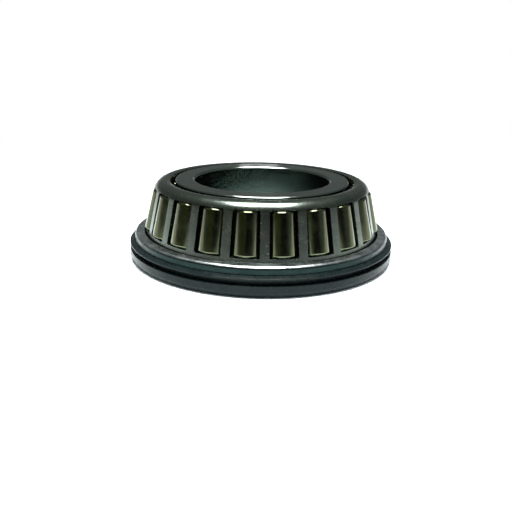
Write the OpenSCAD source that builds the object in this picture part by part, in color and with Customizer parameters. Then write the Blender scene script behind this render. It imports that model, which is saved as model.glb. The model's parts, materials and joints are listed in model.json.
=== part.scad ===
// Sealed cone assembly of a tapered roller bearing: an inner ring with two ribs, a row of
// tapered rollers in a stamped window cage, and a two-piece face seal pressed on the large rib.
// It stands on the back face of the inner ring, with the small ends of the rollers up.
// All roller and raceway lines meet in one apex on the axis, so the rollers roll truly.

/* [Inner ring] */
// Bore diameter
bore_d = 40; // [32:0.5:43]
// Width between the two flat faces
ring_w = 23; // [22:0.1:25]
// Height over the raceway of the rib at the large end, which also carries the seal
large_rib_h = 2.95; // [2:0.05:3.4]
// Height over the raceway of the rib at the small end
small_rib_h = 1; // [0.8:0.05:2]
// Chamfer at both ends of the bore
bore_chamfer = 0.5; // [0.3:0.1:1.5]
// Chamfer on the outer edges of both faces
face_chamfer = 0.3; // [0.2:0.1:1]
// Depth of the grinding relief at both ends of the raceway
relief_depth = 0.35; // [0.1:0.05:0.6]
// Length of the grinding relief along the raceway
relief_len = 1.1; // [0.6:0.1:1.8]

/* [Rollers] */
// Number of rollers
roller_count = 21; // [14:1:21]
// Roller diameter at the middle of its length
roller_d = 7.93; // [7.2:0.01:8.1]
// Roller length between its end faces
roller_len = 11.9; // [10:0.1:12.4]
// Radius of the rounded edge at both ends of a roller
roller_edge_r = 0.6; // [0.2:0.1:1]
// Diameter of the circle through the middles of the rollers
pitch_d = 59.7; // [59.2:0.1:62]
// Height of the middles of the rollers over the back face
roller_mid_z = 14.2; // [13.8:0.1:15.2]
// Angle between the bearing axis and the outer line of a roller
contact_angle = 14.04; // [12:0.01:16]
// Turn of the first roller about the bearing axis, from +X
first_roller_angle = -79.62; // [-180:0.01:180]

/* [Cage] */
// Sheet thickness
cage_t = 1.5; // [1:0.1:1.6]
// Height of the outer face of the bars over the roller axes
cage_rise = 3.35; // [3:0.05:3.5]
// Width of a window at the middle of the roller
window_w = 7.5; // [7:0.05:7.6]
// Radius of the window corners
window_corner_r = 0.5; // [0.2:0.1:1]
// Height of the cage ring below the windows, along the sheet
cage_foot_h = 1.9; // [1.2:0.1:2.4]
// Height of the cage's inward flange over the small ends of the rollers, along their axes
cage_nose_h = 2.9; // [2.7:0.05:4.5]
// Outside radius of the rounded shoulder
shoulder_r = 3.2; // [2.4:0.1:3.6]
// Width of the flat lip inside the shoulder
cage_lip = 0.8; // [0.1:0.1:1.4]

/* [Seal case] */
// Sheet thickness
case_t = 0.8; // [0.5:0.1:1]
// Room between the foot of the cage and the inside of the wall
case_room = 2.3; // [1.9:0.05:3]
// Height of the floor's underside over the back face of the inner ring
case_floor_z = 0.95; // [0.95:0.05:2]
// Height of the sleeve that is pressed on the large rib, from the underside of the floor
sleeve_h = 5.4; // [3:0.1:5.6]
// Depth of the top flange below the lower edges of the windows
case_drop = 0.85; // [0.4:0.05:1]
// Inward step of the wall behind the moulded ring
case_step = 1; // [0.6:0.1:1.2]
// Bend radius at the middle of the sheet
case_bend_r = 0.8; // [0.6:0.1:1]
// Bend radius of the step and the top edge, at the middle of the sheet
case_tight_r = 0.5; // [0.5:0.05:0.6]

/* [Moulded seal ring] */
// Reach of the two rims beyond the wall of the case
rim_reach = 1.55; // [1:0.05:3]
// Thickness of the skin under the floor of the case
seal_skin = 0.8; // [0.4:0.1:0.9]
// Room between the sleeve and the inner edge of that skin
skin_room = 2.2; // [1:0.1:4]
// Height of the lower rim
low_rim_h = 3.25; // [2.6:0.05:3.4]
// Height of the steep chamfer at the foot of the lower rim
low_rim_chamfer_h = 1.4; // [0.4:0.1:2]
// Depth of that chamfer
low_rim_chamfer_w = 0.85; // [0.2:0.05:1]
// Width of the groove between the rims
groove_w = 1.55; // [1:0.05:1.7]
// Depth of the groove
groove_depth = 1.8; // [0.5:0.1:1.9]
// Height of the straight edge of the upper rim
top_rim_h = 0.35; // [0.2:0.05:0.5]
// Height of the slope over the upper rim
top_slope_h = 0.5; // [0.3:0.05:0.6]

/* [Clearances] */
// Between rollers and raceway
race_gap = 0.06; // [0.04:0.01:0.1]
// Between the large rib and the roller ends
rib_gap = 0.12; // [0.1:0.01:0.2]
// Between the small rib and the roller ends
small_rib_gap = 0.3; // [0.15:0.05:0.5]
// Between a roller and the sides of its window
pocket_gap = 0.25; // [0.15:0.01:0.3]
// Between a roller and the ends of its window
pocket_end_gap = 0.25; // [0.15:0.05:0.4]
// Between the cage and the top flange of the seal case
seal_gap = 0.4; // [0.3:0.05:0.6]
// Bond line between the seal case and the moulded ring
bond_gap = 0.05; // [0.04:0.01:0.1]

/* [Hidden] */
$fn = 96;
edge_steps = 4;
bend_steps = 5;
eps = 0.01;

// Roller geometry: the roller's axis leans to the common apex
roller_mid_r = roller_d / 2;
pitch_r = pitch_d / 2;
half_taper = atan(roller_mid_r * sin(contact_angle) / (pitch_r + roller_mid_r * cos(contact_angle)));
axis_tilt = contact_angle - half_taper;
apex_len = pitch_r / sin(axis_tilt);
roller_step = 360 / roller_count;
half_len = roller_len / 2;
function roller_r(v) = (apex_len - v) * tan(half_taper);

// A point in the plane through the bearing axis and a roller's axis: u outward from the
// roller's axis and v along it from its middle towards the small end, given as [radius, height]
function at_roller(u, v) = [
    pitch_r + u * cos(axis_tilt) - v * sin(axis_tilt),
    roller_mid_z + u * sin(axis_tilt) + v * cos(axis_tilt)
];
// The place along the roller's axis at which the line at distance u reaches a radius or a height
function v_at_height(u, z) = (z - roller_mid_z - u * sin(axis_tilt)) / cos(axis_tilt);
function u_at_radius(v, r) = (r - pitch_r + v * sin(axis_tilt)) / cos(axis_tilt);

// Inner ring levels
bore_r = bore_d / 2;
rib_v = -half_len - rib_gap;
small_rib_v = half_len + small_rib_gap;
function race_u(v) = -(roller_r(v) + race_gap);
large_rib_r = at_roller(race_u(rib_v), rib_v)[0] + large_rib_h;
small_rib_r = at_roller(race_u(small_rib_v), small_rib_v)[0] + small_rib_h;

// Cage levels
window_half_len = half_len + pocket_end_gap;
window_low_z = at_roller(cage_rise, -window_half_len)[1];
cage_foot_v = -window_half_len - cage_foot_h;
cage_mid_u = cage_rise - cage_t / 2;
cage_bend_r = shoulder_r - cage_t / 2;
cage_flange_v = half_len + cage_nose_h - cage_t / 2;
cage_lip_u = cage_rise - shoulder_r - cage_lip;

// Seal levels, from the floor up
case_r = at_roller(cage_rise, cage_foot_v)[0] + case_room + case_t;
seal_r = case_r + rim_reach;
groove_r = seal_r - groove_depth;
seal_low_z = case_floor_z - bond_gap - seal_skin;
low_rim_z = seal_low_z + low_rim_h;
top_rim_z = low_rim_z + groove_w;
slope_low_z = top_rim_z + top_rim_h;
slope_top_z = slope_low_z + top_slope_h;
case_top_z = window_low_z - case_drop;
case_wall_r = case_r - case_t / 2;
case_flange_z = case_top_z - case_t / 2;
case_flange_v = v_at_height(cage_rise, case_top_z - case_t);
case_flange_r = at_roller(cage_rise, case_flange_v)[0] + seal_gap;
case_floor_mid_z = case_floor_z + case_t / 2;
seal_skin_r = large_rib_r + case_t + skin_room;

rollers = [for (i = [1:roller_count]) str("roller_", i < 10 ? "0" : "", i)];

// Bent strips, used for both stamped pieces
function unit(p) = p / norm(p);
function left_of(p) = [-p[1], p[0]];
function turned(p, a) = [p[0] * cos(a) - p[1] * sin(a), p[0] * sin(a) + p[1] * cos(a)];
function turn_between(a, b) = atan2(a[0] * b[1] - a[1] * b[0], a * b);
function reversed(list) = [for (i = [len(list) - 1:-1:0]) list[i]];
// The path with its corners rounded to the bend radii and set off to the left by off
function side(path, radii, off) = [
    path[0] + off * left_of(unit(path[1] - path[0])),
    for (i = [1:len(path) - 2])
        let (
            d = unit(path[i] - path[i - 1]),
            a = turn_between(d, path[i + 1] - path[i]),
            r = radii[i - 1],
            centre = path[i] - d * r * tan(abs(a) / 2) + left_of(d) * sign(a) * r
        )
        for (k = [0:bend_steps])
            centre - turned(left_of(d), a * k / bend_steps) * (sign(a) * r - off),
    path[len(path) - 1] + off * left_of(unit(path[len(path) - 1] - path[len(path) - 2]))
];
function strip(path, radii, t) = concat(side(path, radii, t / 2), reversed(side(path, radii, -t / 2)));

module place_roller(i) {
    rotate([0, 0, first_roller_angle + i * roller_step])
        translate([pitch_r, 0, roller_mid_z])
            rotate([0, -axis_tilt, 0])
                children();
}

module inner_ring() {
    rib_u = u_at_radius(rib_v, large_rib_r);
    rib_edge = at_roller(rib_u, rib_v);
    low_u = race_u(rib_v);
    high_u = race_u(small_rib_v);
    color("gray")
        rotate_extrude()
            polygon([
                [bore_r, bore_chamfer],
                [bore_r + bore_chamfer, 0],
                [large_rib_r - face_chamfer, 0],
                [large_rib_r, face_chamfer],
                [large_rib_r, rib_edge[1] - face_chamfer],
                at_roller(rib_u - face_chamfer, rib_v),
                at_roller(low_u + relief_len, rib_v),
                at_roller(low_u + relief_len / 2, rib_v - relief_depth),
                at_roller(low_u - relief_depth, rib_v),
                at_roller(low_u - relief_depth, rib_v + relief_len / 2),
                at_roller(race_u(rib_v + relief_len), rib_v + relief_len),
                at_roller(race_u(small_rib_v - relief_len), small_rib_v - relief_len),
                at_roller(high_u - relief_depth, small_rib_v - relief_len / 2),
                at_roller(high_u - relief_depth, small_rib_v),
                at_roller(u_at_radius(small_rib_v, small_rib_r - face_chamfer / 2), small_rib_v),
                [small_rib_r, at_roller(u_at_radius(small_rib_v, small_rib_r), small_rib_v)[1] + face_chamfer / 2],
                [small_rib_r, ring_w - face_chamfer],
                [small_rib_r - face_chamfer, ring_w],
                [bore_r + bore_chamfer, ring_w],
                [bore_r, ring_w - bore_chamfer]
            ]);
}

module roller(i) {
    low_r = roller_r(-half_len);
    high_r = roller_r(half_len);
    color("dimgray")
        place_roller(i)
            rotate_extrude()
                polygon([
                    [0, -half_len],
                    for (k = [0:edge_steps])
                        [low_r - roller_edge_r, roller_edge_r - half_len]
                            + roller_edge_r * [sin(90 * k / edge_steps), -cos(90 * k / edge_steps)],
                    for (k = [0:edge_steps])
                        [high_r - roller_edge_r, half_len - roller_edge_r]
                            + roller_edge_r * [cos(90 * k / edge_steps), sin(90 * k / edge_steps)],
                    [0, half_len]
                ]);
}

// The opening punched for one roller: straight through the sheet, with its sides running to
// the apex, and coined to the roller's own curve on the inside
module window_cut(i) {
    function half_w(v) = window_w / 2 * (apex_len - v) / apex_len;
    corners = [
        [-half_w(-window_half_len), -window_half_len],
        [half_w(-window_half_len), -window_half_len],
        [half_w(window_half_len), window_half_len],
        [-half_w(window_half_len), window_half_len],
    ];
    // The outline starts and ends in the middle of its lower side
    outline = side(
        concat([[0, -window_half_len]], [for (k = [1:4]) corners[k % 4]], [[0, -window_half_len]]),
        [for (k = [1:4]) window_corner_r],
        0
    );
    low_r = roller_r(-window_half_len) + pocket_gap;
    high_r = roller_r(window_half_len) + pocket_gap;
    place_roller(i) {
        rotate([90, 0, 90])
            linear_extrude(height = 2 * roller_d)
                polygon([for (k = [0:len(outline) - 2]) outline[k]]);
        translate([0, 0, -window_half_len])
            cylinder(r1 = low_r, r2 = high_r, h = 2 * window_half_len);
    }
}

module cage() {
    path = [
        at_roller(cage_mid_u, cage_foot_v),
        at_roller(cage_mid_u, cage_flange_v),
        at_roller(cage_lip_u, cage_flange_v)
    ];
    color("darkslategray")
        difference() {
            rotate_extrude()
                polygon(strip(path, [cage_bend_r], cage_t));
            for (i = [0:roller_count - 1])
                window_cut(i);
        }
}

// The middle line of the seal case, from the edge of its floor under the moulded ring to the
// top of its wall, shared by the case and the ring that is bonded to it
case_wall_path = [
    [case_wall_r - case_step, case_floor_mid_z],
    [case_wall_r - case_step, slope_top_z - case_step],
    [case_wall_r, slope_top_z],
];

module seal_case() {
    path = concat(
        [[large_rib_r + case_t / 2, case_floor_z + sleeve_h], [large_rib_r + case_t / 2, case_floor_mid_z]],
        case_wall_path,
        [[case_wall_r, case_flange_z], [case_flange_r, case_flange_z]]
    );
    radii = [case_bend_r, case_bend_r, case_tight_r, case_tight_r, case_tight_r];
    color("slategray")
        rotate_extrude()
            polygon(strip(path, radii, case_t));
}

module seal_ring() {
    inner_path = concat(
        [[seal_skin_r, case_floor_mid_z]],
        case_wall_path,
        [[case_wall_r, case_flange_z]]
    );
    inner = side(inner_path, [case_bend_r, case_tight_r, case_tight_r], -case_t / 2 - bond_gap);
    color("black")
        rotate_extrude()
            polygon(concat(
                [for (k = [0:len(inner) - 2]) inner[k]],
                [
                    [case_r + bond_gap, slope_top_z + eps],
                    [seal_r, slope_low_z],
                    [seal_r, top_rim_z],
                    [groove_r, top_rim_z],
                    [groove_r, low_rim_z],
                    [seal_r, low_rim_z],
                    [seal_r, seal_low_z + low_rim_chamfer_h],
                    [seal_r - low_rim_chamfer_w, seal_low_z],
                    [seal_skin_r, seal_low_z]
                ]
            ));
}

inner_ring();
cage();
for (i = [0:roller_count - 1])
    roller(i);
seal_case();
seal_ring();
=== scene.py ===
"""Finished looks for the sealed cone assembly of a tapered roller bearing.

The packed solids give the places of all pieces. Each piece is turned, stamped or moulded again
here with its rounded edges, and gets its own finish: ground steel, roller steel, cage sheet,
case sheet and moulded rubber.
"""

import json
import math

import bmesh
import bpy
from bpy.props import FloatProperty, FloatVectorProperty, IntProperty, PointerProperty
from mathutils import Matrix, Vector


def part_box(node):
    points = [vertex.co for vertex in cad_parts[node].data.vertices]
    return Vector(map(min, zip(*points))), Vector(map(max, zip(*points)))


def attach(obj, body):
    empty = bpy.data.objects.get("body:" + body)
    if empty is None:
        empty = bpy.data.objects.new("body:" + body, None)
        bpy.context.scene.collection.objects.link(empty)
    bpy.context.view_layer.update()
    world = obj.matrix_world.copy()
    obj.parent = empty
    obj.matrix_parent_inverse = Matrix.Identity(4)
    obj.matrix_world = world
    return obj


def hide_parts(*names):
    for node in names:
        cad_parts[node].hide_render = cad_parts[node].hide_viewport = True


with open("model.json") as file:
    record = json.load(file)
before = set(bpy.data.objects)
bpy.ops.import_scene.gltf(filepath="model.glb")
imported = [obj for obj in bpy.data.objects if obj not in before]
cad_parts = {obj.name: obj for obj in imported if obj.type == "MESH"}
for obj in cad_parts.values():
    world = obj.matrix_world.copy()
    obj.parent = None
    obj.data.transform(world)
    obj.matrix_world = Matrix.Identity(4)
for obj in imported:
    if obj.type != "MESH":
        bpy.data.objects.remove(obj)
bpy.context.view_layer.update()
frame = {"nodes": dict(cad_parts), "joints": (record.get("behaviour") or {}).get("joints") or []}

bl_info = {
    "name": "Sealed Cone Assembly",
    "version": (1, 0, 0),
    "blender": (4, 5, 0),
    "location": "3D View > Sidebar > Bearing",
    "description": "Builds the finished pieces of a sealed tapered roller cone assembly",
    "category": "Add Mesh",
}

ROLLERS = sorted(name for name in frame["nodes"] if name.startswith("roller_"))
FIXED_BODY = "inner_ring_and_seal"

# The first roller's joint gives the pitch circle, the lean of the roller axes and the first angle
FIRST_SPIN = next(j for j in frame["joints"] if j["name"] == ROLLERS[0] + "_spin")
FIRST_POS, FIRST_AXIS = Vector(FIRST_SPIN["pos_m"]), Vector(FIRST_SPIN["axis"])
RING_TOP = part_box("inner_ring")[1].z
RIB_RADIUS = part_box("inner_ring")[1].x
CAGE_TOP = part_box("cage")[1].z
CASE_LOW, CASE_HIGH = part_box("seal_case")
SEAL_LOW, SEAL_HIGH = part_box("seal_ring")

# Steps of a full turn for the large rings and for a roller
RING_STEPS, ROLLER_STEPS = 240, 72
# Distance along Z between the patches of finish that the rollers are given
ROLLER_PATCH = 0.02
SHARP_ANGLE = math.radians(50)

WHITE = (1.0, 1.0, 1.0)
AMBIENT_LIGHT = (0.55, 0.57, 0.57)
# The room that the metal mirrors. The walls are given as shares of the rear wall's brightness
FRONT_DARKNESS = (0.004, 0.006, 0.004)
OLIVE_WALL = (0.05, 0.06, 0.02)
LEFT_WALL = (0.45, 0.48, 0.36)
RIGHT_WALL = (0.8, 0.95, 0.9)
REAR_WALL = (0.9, 1.0, 0.95)
CEILING = (1.3, 1.5, 1.3)


def length(name, description, default):
    """A length property in metres."""
    return FloatProperty(
        name=name, description=description, default=default, min=0.0, precision=5,
        subtype="DISTANCE", unit="LENGTH",
    )


def angle(name, description, default):
    """An angle property in radians."""
    return FloatProperty(
        name=name, description=description, default=default, precision=5,
        subtype="ANGLE", unit="ROTATION",
    )


def colour(name, description, default):
    """A colour property."""
    return FloatVectorProperty(
        name=name, description=description, default=default, size=3, min=0.0, max=1.0,
        subtype="COLOR",
    )


def share(name, description, default):
    """A plain number from 0 to 1."""
    return FloatProperty(
        name=name, description=description, default=default, min=0.0, max=1.0, subtype="FACTOR",
    )


class RollerSizes(bpy.types.PropertyGroup):
    """Sizes of the rollers and of the circle that they run on"""

    count: IntProperty(name="Rollers", description="Number of rollers", default=len(ROLLERS), min=3)
    pitch_radius: length(
        "Pitch radius", "Radius of the circle through the roller middles", FIRST_POS.xy.length,
    )
    mid_height: length("Middle height", "Height of the roller middles", FIRST_POS.z)
    tilt: angle("Axis lean", "Lean of the roller axes to the bearing axis", math.acos(FIRST_AXIS.z))
    first_angle: angle(
        "First angle", "Turn of the first roller from +X", math.atan2(FIRST_POS.y, FIRST_POS.x),
    )
    half_taper: angle("Half taper", "Angle between a roller's axis and its side", math.radians(1.6351))
    mid_diameter: length("Diameter", "Roller diameter at the middle", 0.00793)
    length: length("Length", "Roller length", 0.0119)
    edge: length("Edge radius", "Radius of the rounded ends", 0.0006)


class RingSizes(bpy.types.PropertyGroup):
    """Sizes of the inner ring"""

    width: length("Width", "Width between the faces", RING_TOP)
    bore_radius: length("Bore radius", "Radius of the bore", 0.02)
    bore_chamfer: length("Bore chamfer", "Chamfer at the ends of the bore", 0.0005)
    rib_radius: length("Large rib", "Radius of the rib at the large end", RIB_RADIUS)
    small_rib_radius: length("Small rib", "Radius of the rib at the small end", 0.02575)
    face_chamfer: length("Face chamfer", "Chamfer outside the faces", 0.0003)
    relief_depth: length("Relief depth", "Depth of the grinding reliefs", 0.00035)
    relief_length: length("Relief length", "Length of the grinding reliefs", 0.0011)
    race_gap: length("Race gap", "Gap between rollers and raceway", 0.00006)
    rib_gap: length("Rib gap", "Gap between the large rib and the roller ends", 0.00012)
    small_rib_gap: length("Small rib gap", "Gap between the small rib and the roller ends", 0.0003)


class CageSizes(bpy.types.PropertyGroup):
    """Sizes of the stamped cage"""

    sheet: length("Sheet", "Sheet thickness", 0.0015)
    top: length("Top", "Height of the shoulder's crest", CAGE_TOP)
    rise: length("Rise", "Height of the bars' outer face over the roller axes", 0.00335)
    window_width: length("Window width", "Width of a window at the roller middle", 0.0075)
    window_length: length("Window length", "Length of a window along the roller", 0.0124)
    corner: length("Window corner", "Radius of the window corners", 0.0005)
    foot: length("Foot", "Height of the ring below the windows", 0.0019)
    shoulder: length("Shoulder", "Outside radius of the shoulder", 0.0032)
    lip: length("Lip", "Width of the flat lip inside the shoulder", 0.0008)
    edge: length("Edge", "Rounding of the punched edges", 0.00012)


class SealSizes(bpy.types.PropertyGroup):
    """Sizes of the seal case and the moulded ring"""

    case_radius: length("Case radius", "Outside radius of the bare wall", CASE_HIGH.x)
    case_low: length("Case floor", "Height of the floor's underside", CASE_LOW.z)
    case_top: length("Case top", "Height of the top flange", CASE_HIGH.z)
    sheet: length("Sheet", "Sheet thickness", 0.0008)
    sleeve: length("Sleeve", "Height of the sleeve on the rib", 0.0054)
    step: length("Step", "Inward step of the wall behind the moulded ring", 0.001)
    bend: length("Bend", "Bend radius at the middle of the sheet", 0.0008)
    tight_bend: length("Tight bend", "Bend radius of the step and the top edge", 0.0005)
    flange_gap: length("Flange gap", "Gap between the cage and the top flange", 0.0004)
    rim_radius: length("Rim radius", "Outside radius of both rims", SEAL_HIGH.x)
    rim_low: length("Rim foot", "Height of the moulded ring's underside", SEAL_LOW.z)
    skin_radius: length("Skin radius", "Inner radius of the skin under the floor", 0.033)
    bond: length("Bond line", "Gap between the case and the moulded ring", 0.00005)
    low_rim: length("Lower rim", "Height of the lower rim", 0.00325)
    chamfer_height: length("Chamfer height", "Height of the lower rim's chamfer", 0.0014)
    chamfer_width: length("Chamfer depth", "Depth of the lower rim's chamfer", 0.00085)
    groove: length("Groove", "Width of the groove", 0.00155)
    groove_depth: length("Groove depth", "Depth of the groove", 0.0018)
    top_rim: length("Upper rim", "Height of the upper rim's edge", 0.00035)
    slope: length("Slope", "Height of the slope over the upper rim", 0.0005)


class FinishColours(bpy.types.PropertyGroup):
    """Colours and gloss of the finishes"""

    ground_steel: colour("Ground steel", "Colour of the inner ring", (0.21, 0.25, 0.235))
    roller_steel: colour("Roller steel", "Colour of the rollers", (0.17, 0.19, 0.12))
    cage_steel: colour("Cage steel", "Colour of the cage sheet", (0.15, 0.175, 0.155))
    case_steel: colour("Case steel", "Colour of the seal case", (0.016, 0.028, 0.027))
    # Painted highlight: the brighter metal colour given to the case's top flange and its bend
    flange_highlight: colour(
        "Flange highlight", "Colour of the case where its finish is rubbed off", (0.42, 0.45, 0.47),
    )
    seal_rubber: colour("Seal rubber", "Colour of the moulded ring", (0.005, 0.009, 0.009))
    grain: share("Grain", "Strength of the grinding and tumbling marks", 0.5)


class StageSettings(bpy.types.PropertyGroup):
    """Floor, light and camera"""

    floor: colour("Floor", "Colour of the floor", (0.84, 0.90, 0.91))
    lamp_power: FloatProperty(
        name="Lamp power", description="Power of the top lamp", default=3.5, min=0.0, unit="POWER",
    )
    fade_start: length("Fade start", "Where the floor starts to turn into the white background", 0.09)
    fade_end: length("Fade end", "Where the floor has become the white background", 0.3)
    floor_radius: length("Floor radius", "Radius of the floor", 1.2)
    room: share("Room", "Brightness of the room behind the bearing", 0.14)
    camera_distance: length("Distance", "Distance of the camera from the bearing axis", 0.18067)
    camera_height: length("Height", "Height of the camera", 0.05809)
    pitch: angle("Pitch", "How far the camera looks down", math.radians(18.28))
    pan: angle("Pan", "Turn of the camera to the right", math.radians(-0.43))
    roll: angle("Roll", "Roll of the camera", math.radians(1.13))
    lens: FloatProperty(name="Lens", description="Focal length", default=42.84, min=1.0, unit="CAMERA")


# Shared shape helpers


class RollerFrame:
    """The plane through the bearing axis and a roller's axis.

    u points outward from the roller's axis and v runs along it from its middle to the small end.
    """

    def __init__(self, sizes):
        self.sizes = sizes
        self.apex = sizes.pitch_radius / math.sin(sizes.tilt)

    def at(self, u, v):
        """The radius and height of a point."""
        c, s = math.cos(self.sizes.tilt), math.sin(self.sizes.tilt)
        return Vector((self.sizes.pitch_radius + u * c - v * s, self.sizes.mid_height + u * s + v * c))

    def roller_radius(self, v):
        return (self.apex - v) * math.tan(self.sizes.half_taper)

    def v_at_height(self, u, z):
        return (z - self.sizes.mid_height - u * math.sin(self.sizes.tilt)) / math.cos(self.sizes.tilt)

    def u_at_radius(self, v, r):
        return (r - self.sizes.pitch_radius + v * math.sin(self.sizes.tilt)) / math.cos(self.sizes.tilt)

    def place(self, index):
        """The matrix that puts a roller drawn along +Z into its place."""
        turn = self.sizes.first_angle + index * 2 * math.pi / self.sizes.count
        return (
            Matrix.Rotation(turn, 4, "Z")
            @ Matrix.Translation((self.sizes.pitch_radius, 0, self.sizes.mid_height))
            @ Matrix.Rotation(-self.sizes.tilt, 4, "Y")
        )


def turned_piece(outline, steps):
    """Spins a closed outline of ((radius, height), ease) round the axis.

    ease is how far a corner's rounding reaches along its two sides, and 0 leaves it sharp.
    """
    bm = bmesh.new()
    corners = [(bm.verts.new((p[0], 0, p[1])), ease) for p, ease in outline]
    bm.faces.new([v for v, _ in corners])
    for ease in sorted({e for _, e in corners if e > 0}):
        bmesh.ops.bevel(
            bm, geom=[v for v, e in corners if e == ease], offset=ease, offset_type="OFFSET",
            segments=4, profile=0.5, affect="VERTICES", clamp_overlap=False, material=-1,
        )
    bmesh.ops.delete(bm, geom=bm.faces[:], context="FACES_ONLY")
    bmesh.ops.spin(
        bm, geom=bm.verts[:] + bm.edges[:], cent=(0, 0, 0), axis=(0, 0, 1), angle=2 * math.pi,
        steps=steps, use_merge=True,
    )
    return bm


def sheet_outline(path, radii, sheet, end_ease):
    """The closed outline of a bent sheet: both sides of its middle line, with their corner eases."""
    sides = []
    for sign in (1, -1):
        side = []
        for i, p in enumerate(path):
            before = (p - path[i - 1]).normalized() if i else None
            after = (path[i + 1] - p).normalized() if i < len(path) - 1 else None
            if before is None or after is None:
                d = after or before
                side.append((p + sign * sheet / 2 * Vector((-d.y, d.x)), end_ease))
                continue
            normal_a, normal_b = Vector((-before.y, before.x)), Vector((-after.y, after.x))
            half_turn = before.angle(after) / 2
            mitre = (normal_a + normal_b).normalized() * sheet / 2 / math.cos(half_turn)
            inside = sign if before.cross(after) > 0 else -sign
            side.append((p + sign * mitre, (radii[i - 1] - inside * sheet / 2) * math.tan(half_turn)))
        sides.append(side)
    return sides[0] + sides[1][::-1]


def finish_piece(bm, name, body, node, material):
    """Writes a mesh, shades it and hangs it on its body in place of its solid."""
    bmesh.ops.remove_doubles(bm, verts=bm.verts[:], dist=1e-7)
    bmesh.ops.recalc_face_normals(bm, faces=bm.faces[:])
    for face in bm.faces:
        face.smooth = True
    mesh = bpy.data.meshes.new(name)
    bm.to_mesh(mesh)
    bm.free()
    piece = bpy.data.objects.new(name, mesh)
    bpy.context.scene.collection.objects.link(piece)
    mesh.set_sharp_from_angle(angle=SHARP_ANGLE)
    weighted = piece.modifiers.new("Weighted normals", "WEIGHTED_NORMAL")
    weighted.keep_sharp = True
    mesh.materials.append(material)
    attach(piece, body)
    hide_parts(node)
    return piece


# Shared shader helpers


def put(tree, kind, at=(0, 0), **settings):
    """Adds a node and sets its fields."""
    node = tree.nodes.new(kind)
    node.location = at
    for key, value in settings.items():
        setattr(node, key, value)
    return node


def feed(tree, node, socket, source):
    """Links a socket, or sets it to a plain value."""
    if isinstance(source, bpy.types.NodeSocket):
        tree.links.new(source, node.inputs[socket])
    else:
        node.inputs[socket].default_value = source


def math_node(tree, operation, a, b=None, c=None, clamp=False):
    """A math node on up to three inputs, returning its output."""
    node = put(tree, "ShaderNodeMath", operation=operation, use_clamp=clamp)
    for i, value in enumerate((a, b, c)):
        if value is not None:
            feed(tree, node, i, value)
    return node.outputs[0]


def map_range(tree, value, low, high, to_low=0.0, to_high=1.0, smooth=True):
    """Maps a value from one range to another, clamped."""
    node = put(tree, "ShaderNodeMapRange", interpolation_type="SMOOTHSTEP" if smooth else "LINEAR")
    ends = {"From Min": low, "From Max": high, "To Min": to_low, "To Max": to_high}
    for key, v in {"Value": value, **ends}.items():
        feed(tree, node, key, v)
    return node.outputs["Result"]


def mix_colour(tree, factor, a, b):
    """Mixes two colours, each a socket or three plain values."""
    node = put(tree, "ShaderNodeMix", data_type="RGBA")
    feed(tree, node, 0, factor)
    for key, v in ((6, a), (7, b)):
        feed(tree, node, key, v if isinstance(v, bpy.types.NodeSocket) else (*v, 1.0))
    return node.outputs[2]


def shaded(tone, share):
    """A colour with all its channels made weaker or stronger."""
    return tuple(share * channel for channel in tone)


def noise(tree, vector, scale, detail=2.0, roughness=0.5):
    """A noise texture's value."""
    node = put(tree, "ShaderNodeTexNoise")
    feed(tree, node, "Vector", vector)
    feed(tree, node, "Scale", scale)
    feed(tree, node, "Detail", detail)
    feed(tree, node, "Roughness", roughness)
    return node.outputs["Fac"]


def new_group(name, inputs, outputs):
    """An empty node group with named sockets. Returns the group and its two end nodes."""
    group = bpy.data.node_groups.new(name, "ShaderNodeTree")
    for label, kind, default in inputs:
        socket = group.interface.new_socket(label, in_out="INPUT", socket_type=kind)
        if default is not None:
            socket.default_value = default
    for label, kind in outputs:
        group.interface.new_socket(label, in_out="OUTPUT", socket_type=kind)
    return group, put(group, "NodeGroupInput", (-600, 0)), put(group, "NodeGroupOutput", (600, 0))


def turning_marks_group():
    """Fine rings left by turning and grinding round the piece's own Z axis."""
    if "Turning Marks" in bpy.data.node_groups:
        return bpy.data.node_groups["Turning Marks"]
    group, start, end = new_group(
        "Turning Marks",
        [
            ("Coordinates", "NodeSocketVector", None),
            ("Rings", "NodeSocketFloat", 9000.0),
            ("Sweep", "NodeSocketFloat", 1.5),
        ],
        [("Height", "NodeSocketFloat"), ("Bands", "NodeSocketFloat")],
    )
    split = put(group, "ShaderNodeSeparateXYZ")
    feed(group, split, 0, start.outputs["Coordinates"])
    x, y, z = split.outputs
    squares = math_node(group, "MULTIPLY_ADD", x, x, math_node(group, "MULTIPLY", y, y))
    radius = math_node(group, "SQRT", squares)
    around = math_node(group, "ABSOLUTE", math_node(group, "ARCTAN2", y, x))
    joined = put(group, "ShaderNodeCombineXYZ")
    feed(group, joined, 0, math_node(group, "MULTIPLY", radius, start.outputs["Rings"]))
    feed(group, joined, 1, math_node(group, "MULTIPLY", z, start.outputs["Rings"]))
    feed(group, joined, 2, math_node(group, "MULTIPLY", around, start.outputs["Sweep"]))
    group.links.new(noise(group, joined.outputs[0], 1.0, 3.0, 0.65), end.inputs["Height"])
    group.links.new(noise(group, joined.outputs[0], 0.13, 2.0, 0.5), end.inputs["Bands"])
    return group


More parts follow.
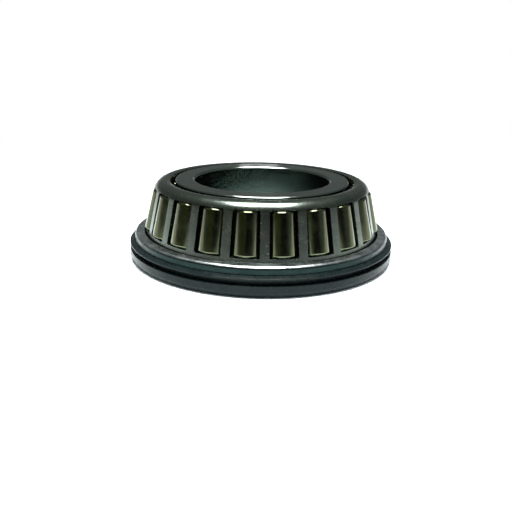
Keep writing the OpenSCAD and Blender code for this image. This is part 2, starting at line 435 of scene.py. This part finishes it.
def handling_group():
    """Smudges of oil and fine scratches from handling."""
    if "Handling Marks" in bpy.data.node_groups:
        return bpy.data.node_groups["Handling Marks"]
    group, start, end = new_group(
        "Handling Marks",
        [("Coordinates", "NodeSocketVector", None), ("Size", "NodeSocketFloat", 260.0)],
        [("Smudge", "NodeSocketFloat"), ("Scratch", "NodeSocketFloat")],
    )
    cloud = noise(group, start.outputs["Coordinates"], start.outputs["Size"], 4.0, 0.6)
    group.links.new(map_range(group, cloud, 0.42, 0.66), end.inputs["Smudge"])
    scratch = None
    for turn in ((0.3, 0.9, 0.2), (1.3, 0.2, 1.1)):
        tipped = put(group, "ShaderNodeMapping")
        feed(group, tipped, "Vector", start.outputs["Coordinates"])
        feed(group, tipped, "Rotation", turn)
        feed(group, tipped, "Scale", (1.0, 14.0, 1.0))
        line = map_range(group, noise(group, tipped.outputs[0], 420.0, 2.0, 0.4), 0.74, 0.8)
        scratch = line if scratch is None else math_node(group, "MAXIMUM", scratch, line)
    group.links.new(scratch, end.inputs["Scratch"])
    return group


def use_group(tree, group, **inputs):
    """Places a group in a material."""
    node = put(tree, "ShaderNodeGroup", node_tree=group)
    for key, value in inputs.items():
        feed(tree, node, key, value)
    return node


def start_material(name, vector="object"):
    """A material with its Principled shader and its coordinates."""
    material = bpy.data.materials.new(name)
    material.use_nodes = True
    tree = material.node_tree
    shader = tree.nodes["Principled BSDF"]
    if vector == "object":
        coordinates = put(tree, "ShaderNodeTexCoord", (-1200, 0)).outputs["Object"]
    else:
        attribute = put(tree, "ShaderNodeAttribute", (-1200, 0), attribute_name=vector)
        coordinates = attribute.outputs["Vector"]
    return material, tree, shader, coordinates


def metal_material(
    name, tint, dark, rough, smear, rings, marks, bump_depth=0.000002, peen=0.0, vector="object",
):
    """Bare steel: turning marks, tumbling dimples, oil smudges and fine scratches."""
    material, tree, shader, where = start_material(name, vector)
    lines = use_group(tree, turning_marks_group(), Coordinates=where, Rings=rings)
    hands = use_group(tree, handling_group(), Coordinates=where)
    tone = mix_colour(tree, map_range(tree, lines.outputs["Bands"], 0.35, 0.65), dark, tint)
    oiled = tuple(channel * 0.86 for channel in tint[:2]) + (tint[2] * 0.78,)
    tone = mix_colour(tree, math_node(tree, "MULTIPLY", hands.outputs["Smudge"], 0.6), tone, oiled)
    feed(tree, shader, "Base Color", tone)
    shader.inputs["Metallic"].default_value = 1.0
    gloss = map_range(tree, hands.outputs["Smudge"], 0.0, 1.0, rough, rough + smear, smooth=False)
    gloss = math_node(tree, "MULTIPLY_ADD", lines.outputs["Height"], 0.06, gloss)
    gloss = math_node(tree, "MULTIPLY_ADD", hands.outputs["Scratch"], 0.1, gloss, clamp=True)
    feed(tree, shader, "Roughness", gloss)
    height = math_node(tree, "MULTIPLY", lines.outputs["Height"], marks)
    height = math_node(tree, "MULTIPLY_ADD", hands.outputs["Scratch"], -0.1 * marks, height)
    if peen > 0:
        height = math_node(tree, "MULTIPLY_ADD", noise(tree, where, 900.0, 2.0, 0.5), peen, height)
    bump = put(tree, "ShaderNodeBump")
    feed(tree, bump, "Strength", 1.0)
    feed(tree, bump, "Distance", bump_depth)
    feed(tree, bump, "Height", height)
    feed(tree, shader, "Normal", bump.outputs[0])
    return material


# Pieces


class BEARING_OT_inner_ring(bpy.types.Operator):
    """Turn the inner ring with its bore, ribs and raceway"""

    bl_idname = "bearing.inner_ring"
    bl_label = "Inner Ring"

    def execute(self, context):
        ring, finish = context.scene.ring_sizes, context.scene.finish_colours
        rollers = RollerFrame(context.scene.roller_sizes)
        at, half = rollers.at, rollers.sizes.length / 2
        race = lambda v: -(rollers.roller_radius(v) + ring.race_gap)
        low, high = -half - ring.rib_gap, half + ring.small_rib_gap
        rib_u = rollers.u_at_radius(low, ring.rib_radius)
        small_u = rollers.u_at_radius(high, ring.small_rib_radius)
        depth, run, chamfer, bore = ring.relief_depth, ring.relief_length, ring.face_chamfer, ring.bore_radius
        broken, soft = 0.00012, 0.0002
        outline = [
            ((bore, ring.bore_chamfer), soft),
            ((bore + ring.bore_chamfer, 0), soft),
            ((ring.rib_radius - chamfer, 0), broken),
            ((ring.rib_radius, chamfer), broken),
            ((ring.rib_radius, at(rib_u, low).y - chamfer), broken),
            (at(rib_u - chamfer, low), broken),
            (at(race(low) + run, low), broken),
            (at(race(low) + run / 2, low - depth), broken),
            (at(race(low) - depth, low), broken),
            (at(race(low) - depth, low + run / 2), broken),
            (at(race(low + run), low + run), broken),
            (at(race(high - run), high - run), broken),
            (at(race(high) - depth, high - run / 2), broken),
            (at(race(high) - depth, high), broken),
            (at(small_u - chamfer / 2, high), 0.00008),
            (Vector((ring.small_rib_radius, at(small_u, high).y + chamfer / 2)), 0.00008),
            ((ring.small_rib_radius, ring.width - chamfer), broken),
            ((ring.small_rib_radius - chamfer, ring.width), broken),
            ((bore + ring.bore_chamfer, ring.width), soft),
            ((bore, ring.width - ring.bore_chamfer), soft),
        ]
        steel = metal_material(
            "Ground steel", finish.ground_steel, shaded(finish.ground_steel, 0.94),
            rough=0.09, smear=0.04, rings=9000.0, marks=finish.grain, bump_depth=0.000001,
        )
        bm = turned_piece(outline, RING_STEPS)
        finish_piece(bm, "ring_ground", FIXED_BODY, "inner_ring", steel)
        return {"FINISHED"}


class BEARING_OT_rollers(bpy.types.Operator):
    """Turn the tapered rollers and set each on its own body"""

    bl_idname = "bearing.rollers"
    bl_label = "Rollers"

    def execute(self, context):
        sizes, finish = context.scene.roller_sizes, context.scene.finish_colours
        rollers = RollerFrame(sizes)
        half = sizes.length / 2
        steel = metal_material(
            "Roller steel", finish.roller_steel, shaded(finish.roller_steel, 0.92),
            rough=0.09, smear=0.05, rings=7000.0, marks=finish.grain * 0.6, vector="own_place",
        )
        for index, name in enumerate(ROLLERS):
            bm = bmesh.new()
            low_r, high_r = rollers.roller_radius(-half), rollers.roller_radius(half)
            corners = ((0, -half), (low_r, -half), (high_r, half), (0, half))
            line = [bm.verts.new((r, 0, v)) for r, v in corners]
            for a, b in zip(line, line[1:]):
                bm.edges.new((a, b))
            bmesh.ops.spin(
                bm, geom=bm.verts[:] + bm.edges[:], cent=(0, 0, 0), axis=(0, 0, 1), angle=2 * math.pi,
                steps=ROLLER_STEPS, use_merge=True,
            )
            bmesh.ops.remove_doubles(bm, verts=bm.verts[:], dist=1e-7)
            bmesh.ops.recalc_face_normals(bm, faces=bm.faces[:])
            rims = [e for e in bm.edges if len(e.link_faces) == 2 and e.calc_face_angle() > 0.8]
            bmesh.ops.bevel(
                bm, geom=rims, offset=sizes.edge, offset_type="OFFSET", segments=5, profile=0.5,
                affect="EDGES", clamp_overlap=True, material=-1,
            )
            own = bm.verts.layers.float_vector.new("own_place")
            for vert in bm.verts:
                vert[own] = vert.co + Vector((0, 0, ROLLER_PATCH * index))
            bm.transform(rollers.place(index))
            finish_piece(bm, name + "_ground", name, name, steel)
        return {"FINISHED"}


class BEARING_OT_cage(bpy.types.Operator):
    """Stamp the cage: bend the sheet, punch the windows and round the punched edges"""

    bl_idname = "bearing.cage"
    bl_label = "Cage"

    def execute(self, context):
        cage, finish = context.scene.cage_sizes, context.scene.finish_colours
        rollers = RollerFrame(context.scene.roller_sizes)
        sizes = rollers.sizes
        half_window = cage.window_length / 2

        # The shoulder turns the sheet by a right angle round this centre
        hub_u = cage.rise - cage.shoulder
        bend_v = rollers.v_at_height(hub_u, cage.top - cage.shoulder)
        foot_v = -half_window - cage.foot
        flank, arc = bend_v - foot_v, cage.shoulder * math.pi / 2
        past_bend = max(0.0, half_window - bend_v)
        window_end = math.asin(past_bend / cage.shoulder)

        def on_sheet(s, depth):
            """The radius and height at a distance from the foot and a depth under the outside."""
            if s <= flank:
                return rollers.at(cage.rise - depth, foot_v + s)
            inside = cage.shoulder - depth
            if s > flank + arc:
                return rollers.at(hub_u + flank + arc - s, bend_v + inside)
            # The end of a window is square to the roller's axis, so the lines through the sheet lean
            bent, own_end = (s - flank) / cage.shoulder, math.asin(past_bend / inside)
            if bent <= window_end:
                bent *= own_end / window_end
            else:
                bent = own_end + (bent - window_end) * (math.pi / 2 - own_end) / (math.pi / 2 - window_end)
            return rollers.at(hub_u + inside * math.cos(bent), bend_v + inside * math.sin(bent))

        low_s = cage.foot
        high_s = flank + cage.shoulder * window_end
        half_pitch, reach = math.pi / sizes.count, 0.033
        side_x = math.asin(cage.window_width / 2 / rollers.at(cage.rise, 0).x) * reach
        pitch_x, round_x = half_pitch * reach, side_x - cage.corner
        columns = [0, 0.33 * round_x, 0.66 * round_x, round_x, side_x, (side_x + pitch_x) / 2, pitch_x]
        columns = [-x for x in columns[:0:-1]] + columns
        window = [low_s, low_s + cage.corner] + [low_s + (high_s - low_s) * k / 4 for k in (1, 2, 3)]
        window += [high_s - cage.corner, high_s]
        over = [high_s + (flank + arc - high_s) * k / 9 for k in range(1, 10)]
        rows = [0, low_s / 2] + window + over + [flank + arc + cage.lip]

        bm = bmesh.new()
        bmesh.ops.create_grid(bm, x_segments=len(columns) - 1, y_segments=len(rows) - 1, size=1)
        for vert in bm.verts:
            column = round((vert.co.x + 1) / 2 * (len(columns) - 1))
            row = round((vert.co.y + 1) / 2 * (len(rows) - 1))
            vert.co = (columns[column], rows[row], 0)
        # Punch the window, but leave a small piece in each corner for its radius
        punched, corners = [], []
        for face in bm.faces:
            x, s, _ = face.calc_center_median()
            if abs(x) < side_x and low_s < s < high_s:
                in_corner = abs(x) > round_x and not low_s + cage.corner < s < high_s - cage.corner
                (corners if in_corner else punched).append(face)
        bmesh.ops.delete(bm, geom=punched, context="FACES")
        free = [e for face in corners for e in face.edges if e.is_boundary]
        split = bmesh.ops.subdivide_edges(bm, edges=free, cuts=1)
        moved = {v for v in split["geom_split"] if isinstance(v, bmesh.types.BMVert)}
        moved |= {v for v in bm.verts if v.is_boundary and abs(abs(v.co.x) - round_x) < 1e-7
                  and min(abs(v.co.y - low_s - cage.corner), abs(v.co.y - high_s + cage.corner)) < 1e-7}
        short, long = math.sin(math.pi / 8), math.cos(math.pi / 8)
        for vert in moved:
            low_end = vert.co.y < (low_s + high_s) / 2
            hub_s = low_s + cage.corner if low_end else high_s - cage.corner
            hub = Vector((math.copysign(round_x, vert.co.x), hub_s, 0))
            across, along = math.copysign(1, hub.x), -1 if low_end else 1
            out = vert.co - hub
            if out.length < 1e-7:
                out = Vector((across, along, 0))
            elif abs(out.x) > abs(out.y):
                out = Vector((across * long, along * short, 0))
            else:
                out = Vector((across * short, along * long, 0))
            vert.co = hub + out.normalized() * cage.corner
        # Give the sheet its thickness, then lay the pitches side by side and bend the strip round
        thick = bmesh.ops.extrude_face_region(bm, geom=bm.faces[:], use_keep_orig=True)["geom"]
        inside_verts = [g for g in thick if isinstance(g, bmesh.types.BMVert)]
        bmesh.ops.translate(bm, verts=inside_verts, vec=(0, 0, cage.sheet))
        joints = [f for f in bm.faces if all(abs(abs(v.co.x) - pitch_x) < 1e-7 for v in f.verts)]
        bmesh.ops.delete(bm, geom=joints, context="FACES")
        pattern = bm.verts[:] + bm.edges[:] + bm.faces[:]
        for index in range(1, sizes.count):
            copy = bmesh.ops.duplicate(bm, geom=pattern)["geom"]
            copied_verts = [g for g in copy if isinstance(g, bmesh.types.BMVert)]
            bmesh.ops.translate(bm, verts=copied_verts, vec=(2 * pitch_x * index, 0, 0))
        for vert in bm.verts:
            place = on_sheet(vert.co.y, vert.co.z)
            pitch = round(vert.co.x / (2 * pitch_x))
            x = vert.co.x - pitch * 2 * pitch_x
            # The sides of a window are flat and run to the apex
            v = min(max(foot_v + vert.co.y, -half_window), half_window)
            side = math.asin(cage.window_width / 2 * (rollers.apex - v) / rollers.apex / place.x)
            if abs(x) <= side_x:
                x = x / side_x * side
            else:
                x = math.copysign(side + (abs(x) - side_x) / (pitch_x - side_x) * (half_pitch - side), x)
            around = pitch * 2 * half_pitch + x + sizes.first_angle
            vert.co = (place.x * math.cos(around), place.x * math.sin(around), place.y)
        bmesh.ops.remove_doubles(bm, verts=bm.verts[:], dist=1e-6)
        bmesh.ops.recalc_face_normals(bm, faces=bm.faces[:])
        sharp = [e for e in bm.edges if len(e.link_faces) == 2 and e.calc_face_angle() > 0.9]
        bmesh.ops.bevel(
            bm, geom=sharp, offset=cage.edge, offset_type="OFFSET", segments=2, profile=0.5,
            affect="EDGES", clamp_overlap=True, material=-1,
        )
        steel = metal_material(
            "Cage sheet", finish.cage_steel, shaded(finish.cage_steel, 0.92),
            rough=0.2, smear=0.05, rings=3500.0, marks=finish.grain * 0.4, bump_depth=0.000003, peen=0.25,
        )
        finish_piece(bm, "cage_stamped", "cage", "cage", steel)
        return {"FINISHED"}


def case_wall(seal):
    """The middle line of the case from its floor to the top of its wall."""
    wall = seal.case_radius - seal.sheet / 2
    slope_top = seal.rim_low + seal.low_rim + seal.groove + seal.top_rim + seal.slope
    floor = seal.case_low + seal.sheet / 2
    return [
        Vector((wall - seal.step, floor)),
        Vector((wall - seal.step, slope_top - seal.step)),
        Vector((wall, slope_top)),
        Vector((wall, seal.case_top - seal.sheet / 2)),
    ]


class BEARING_OT_seal_case(bpy.types.Operator):
    """Draw the seal case from sheet: sleeve, floor, stepped wall and top flange"""

    bl_idname = "bearing.seal_case"
    bl_label = "Seal Case"

    def execute(self, context):
        seal, ring = context.scene.seal_sizes, context.scene.ring_sizes
        finish = context.scene.finish_colours
        cage, rollers = context.scene.cage_sizes, RollerFrame(context.scene.roller_sizes)
        sleeve = ring.rib_radius + seal.sheet / 2
        flange_v = rollers.v_at_height(cage.rise, seal.case_top - seal.sheet)
        flange = rollers.at(cage.rise, flange_v).x + seal.flange_gap
        path = [Vector((sleeve, z)) for z in (seal.case_low + seal.sleeve, seal.case_low + seal.sheet / 2)]
        path += case_wall(seal)
        path += [Vector((flange, seal.case_top - seal.sheet / 2))]
        radii = [seal.bend, seal.bend, seal.tight_bend, seal.tight_bend, seal.tight_bend]
        steel = metal_material(
            "Drawn sheet", finish.case_steel, shaded(finish.case_steel, 0.85),
            rough=0.24, smear=0.1, rings=5000.0, marks=finish.grain * 0.8, bump_depth=0.000003, peen=0.3,
        )
        # Painted highlight: the top flange and its bend get a brighter metal colour than the dark wall,
        # standing in for the light that falls on them
        tree = steel.node_tree
        shader, split = tree.nodes["Principled BSDF"], put(tree, "ShaderNodeSeparateXYZ")
        feed(tree, split, 0, put(tree, "ShaderNodeTexCoord").outputs["Object"])
        highlight_start, highlight_full = seal.case_top - 0.8 * seal.sheet, seal.case_top - 0.3 * seal.sheet
        flange_highlight_mask = map_range(tree, split.outputs["Z"], highlight_start, highlight_full)
        coated = shader.inputs["Base Color"].links[0].from_socket
        feed(tree, shader, "Base Color", mix_colour(tree, flange_highlight_mask, coated, finish.flange_highlight))
        bm = turned_piece(sheet_outline(path, radii, seal.sheet, end_ease=0.00012), RING_STEPS)
        finish_piece(bm, "seal_case_drawn", FIXED_BODY, "seal_case", steel)
        return {"FINISHED"}


class BEARING_OT_seal_ring(bpy.types.Operator):
    """Mould the rubber ring with its two rims and the groove between them"""

    bl_idname = "bearing.seal_ring"
    bl_label = "Moulded Seal Ring"

    def execute(self, context):
        seal, finish = context.scene.seal_sizes, context.scene.finish_colours
        wall = case_wall(seal)
        back = seal.sheet / 2 + seal.bond
        floor = wall[0].y - back
        low_rim = seal.rim_low + seal.low_rim
        top_rim = low_rim + seal.groove
        slope_low = top_rim + seal.top_rim
        lean = back * math.tan(math.radians(22.5))
        groove = seal.rim_radius - seal.groove_depth
        fine, soft = 0.00008, 0.0002
        outline = [
            ((seal.skin_radius, floor), fine),
            ((wall[0].x + back, floor), 0.0),
            ((wall[1].x + back, wall[1].y - lean), 0.0),
            ((wall[2].x + back, wall[2].y - lean), 0.0),
            ((wall[2].x + back, slope_low + seal.slope), 0.0),
            ((seal.rim_radius, slope_low), fine),
            ((seal.rim_radius, top_rim), fine),
            ((groove, top_rim), soft),
            ((groove, low_rim), soft),
            ((seal.rim_radius, low_rim), fine),
            ((seal.rim_radius, seal.rim_low + seal.chamfer_height), soft),
            ((seal.rim_radius - seal.chamfer_width, seal.rim_low), fine),
            ((seal.skin_radius, seal.rim_low), fine),
        ]
        material, tree, shader, where = start_material("Seal rubber")
        lines = use_group(tree, turning_marks_group(), Coordinates=where, Rings=2500.0)
        hands = use_group(tree, handling_group(), Coordinates=where, Size=320.0)
        base, dusty = finish.seal_rubber, shaded(finish.seal_rubber, 2.2)
        dust = math_node(tree, "MULTIPLY", hands.outputs["Smudge"], 0.35)
        feed(tree, shader, "Base Color", mix_colour(tree, dust, base, dusty))
        gloss = map_range(tree, hands.outputs["Smudge"], 0.0, 1.0, 0.26, 0.36, smooth=False)
        feed(tree, shader, "Roughness", gloss)
        shader.inputs["Specular IOR Level"].default_value = 0.14
        bump = put(tree, "ShaderNodeBump")
        feed(tree, bump, "Strength", 1.0)
        feed(tree, bump, "Distance", 0.000006)
        skin = noise(tree, where, 2400.0, 2.0, 0.5)
        feed(tree, bump, "Height", math_node(tree, "MULTIPLY_ADD", skin, 0.5, lines.outputs["Height"]))
        feed(tree, shader, "Normal", bump.outputs[0])
        bm = turned_piece(outline, RING_STEPS)
        finish_piece(bm, "seal_ring_moulded", FIXED_BODY, "seal_ring", material)
        return {"FINISHED"}


class BEARING_OT_stage(bpy.types.Operator):
    """Set up the floor, the light and the camera"""

    bl_idname = "bearing.stage"
    bl_label = "Stage"

    def execute(self, context):
        scene, stage = context.scene, context.scene.stage_settings
        self.make_floor(scene, stage)
        self.make_world(scene, stage)
        self.make_lamp("Top lamp", (0.0, -0.06, 0.36), (0.25, 0.2), stage.lamp_power)
        self.make_lamp("Rear panel", (-0.004, 0.55, 0.112), (0.045, 0.012), 0.0025)
        self.make_camera(scene, stage)
        scene.view_settings.view_transform = "Standard"
        return {"FINISHED"}

    def make_floor(self, scene, stage):
        bm = bmesh.new()
        bmesh.ops.create_circle(bm, cap_ends=True, segments=96, radius=stage.floor_radius)
        bmesh.ops.translate(bm, verts=bm.verts[:], vec=(0, 0, -0.00005))
        mesh = bpy.data.meshes.new("floor")
        bm.to_mesh(mesh)
        bm.free()
        floor = bpy.data.objects.new("floor", mesh)
        scene.collection.objects.link(floor)
        material = bpy.data.materials.new("Pale paper")
        material.use_nodes = True
        tree = material.node_tree
        shader = tree.nodes["Principled BSDF"]
        where = put(tree, "ShaderNodeTexCoord", (-900, 0)).outputs["Object"]
        mottled = mix_colour(tree, noise(tree, where, 30.0, 3.0), stage.floor, shaded(stage.floor, 0.985))
        feed(tree, shader, "Base Color", mottled)
        shader.inputs["Roughness"].default_value = 0.9
        shader.inputs["Specular IOR Level"].default_value = 0.1
        # Far from the bearing the floor turns into the white background, which metal sees too
        away = put(tree, "ShaderNodeVectorMath", operation="LENGTH")
        feed(tree, away, 0, where)
        far = map_range(tree, away.outputs["Value"], stage.fade_start, stage.fade_end)
        rays = put(tree, "ShaderNodeLightPath")
        seen = math_node(tree, "MAXIMUM", rays.outputs["Is Camera Ray"], rays.outputs["Is Glossy Ray"])
        seen = math_node(tree, "MAXIMUM", seen, rays.outputs["Is Transmission Ray"])
        white = put(tree, "ShaderNodeEmission")
        mixed = put(tree, "ShaderNodeMixShader")
        feed(tree, mixed, 0, math_node(tree, "MULTIPLY", far, seen))
        feed(tree, mixed, 1, shader.outputs[0])
        feed(tree, mixed, 2, white.outputs[0])
        tree.links.new(mixed.outputs[0], tree.nodes["Material Output"].inputs["Surface"])
        mesh.materials.append(material)

    def make_world(self, scene, stage):
        world = bpy.data.worlds.new("Studio")
        scene.world = world
        world.use_nodes = True
        tree = world.node_tree
        background = tree.nodes["Background"]
        where = put(tree, "ShaderNodeTexCoord").outputs["Generated"]
        split = put(tree, "ShaderNodeSeparateXYZ")
        feed(tree, split, 0, where)
        x, y, z = split.outputs
        rays = put(tree, "ShaderNodeLightPath")
        shown = math_node(tree, "MAXIMUM", rays.outputs["Is Glossy Ray"], rays.outputs["Is Transmission Ray"])
        # Metal sees the white background at and under the horizon, and a dark room over it: black in
        # front, an olive wall at the left front, grey walls at the sides and behind, and a ceiling
        olive = math_node(
            tree, "MULTIPLY", map_range(tree, x, 0.0, -0.3), map_range(tree, x, -0.97, -0.7),
        )
        olive = math_node(tree, "MULTIPLY", olive, map_range(tree, y, 0.0, -0.15))
        reflected = FRONT_DARKNESS
        for where_seen, wall in (
            (map_range(tree, x, -0.3, -0.9), shaded(LEFT_WALL, stage.room)),
            (olive, OLIVE_WALL),
            (map_range(tree, x, 0.5, 0.95), shaded(RIGHT_WALL, stage.room)),
            (map_range(tree, y, -0.1, 0.6), shaded(REAR_WALL, stage.room)),
            (map_range(tree, z, 0.3, 0.8), shaded(CEILING, stage.room)),
        ):
            reflected = mix_colour(tree, where_seen, reflected, wall)
        reflected = mix_colour(tree, map_range(tree, z, 0.02, 0.08), WHITE, reflected)
        lighting = mix_colour(tree, shown, AMBIENT_LIGHT, reflected)
        feed(tree, background, "Color", mix_colour(tree, rays.outputs["Is Camera Ray"], lighting, WHITE))
        background.inputs["Strength"].default_value = 1.0

    def make_lamp(self, name, place, size, power):
        data = bpy.data.lights.new(name, "AREA")
        data.shape = "RECTANGLE"
        data.size, data.size_y = size
        data.energy = power
        lamp = bpy.data.objects.new(name, data)
        bpy.context.scene.collection.objects.link(lamp)
        lamp.location = place
        lamp.rotation_euler = (Vector((0, 0, 0.015)) - Vector(place)).to_track_quat("-Z", "Y").to_euler()

    def make_camera(self, scene, stage):
        data = bpy.data.cameras.new("Camera")
        data.lens, data.sensor_width = stage.lens, 36.0
        data.clip_start, data.clip_end = 0.01, 20.0
        camera = bpy.data.objects.new("Camera", data)
        scene.collection.objects.link(camera)
        pan, pitch, roll = stage.pan, stage.pitch, stage.roll
        ahead = Vector((math.sin(pan) * math.cos(pitch), math.cos(pan) * math.cos(pitch), -math.sin(pitch)))
        level = Vector((math.cos(pan), -math.sin(pan), 0))
        up = level.cross(ahead)
        right = level * math.cos(roll) + up * math.sin(roll)
        top = up * math.cos(roll) - level * math.sin(roll)
        camera.matrix_world = Matrix((right, top, -ahead)).transposed().to_4x4()
        camera.location = (0, -stage.camera_distance, stage.camera_height)
        scene.camera = camera


PIECE_OPERATORS = (
    BEARING_OT_inner_ring,
    BEARING_OT_rollers,
    BEARING_OT_cage,
    BEARING_OT_seal_case,
    BEARING_OT_seal_ring,
    BEARING_OT_stage,
)
SETTINGS = {
    "ring_sizes": RingSizes,
    "roller_sizes": RollerSizes,
    "cage_sizes": CageSizes,
    "seal_sizes": SealSizes,
    "finish_colours": FinishColours,
    "stage_settings": StageSettings,
}


class BEARING_PT_panel(bpy.types.Panel):
    """The pieces of the bearing, each with its button, and their sizes and colours"""

    bl_label = "Sealed Cone Assembly"
    bl_idname = "BEARING_PT_panel"
    bl_space_type = "VIEW_3D"
    bl_region_type = "UI"
    bl_category = "Bearing"

    def draw(self, context):
        for operator in PIECE_OPERATORS:
            self.layout.operator(operator.bl_idname)
        for name, kind in SETTINGS.items():
            box = self.layout.box()
            box.label(text=kind.__doc__)
            for field in kind.__annotations__:
                box.prop(getattr(context.scene, name), field)


def register():
    for kind in (*SETTINGS.values(), *PIECE_OPERATORS, BEARING_PT_panel):
        bpy.utils.register_class(kind)
    for name, kind in SETTINGS.items():
        setattr(bpy.types.Scene, name, PointerProperty(type=kind))


def unregister():
    for name in SETTINGS:
        delattr(bpy.types.Scene, name)
    for kind in (BEARING_PT_panel, *PIECE_OPERATORS[::-1], *reversed(SETTINGS.values())):
        bpy.utils.unregister_class(kind)


def main():
    register()
    bpy.ops.bearing.stage()
    bpy.ops.bearing.inner_ring()
    bpy.ops.bearing.rollers()
    bpy.ops.bearing.cage()
    bpy.ops.bearing.seal_case()
    bpy.ops.bearing.seal_ring()


if __name__ == "__main__":
    main()
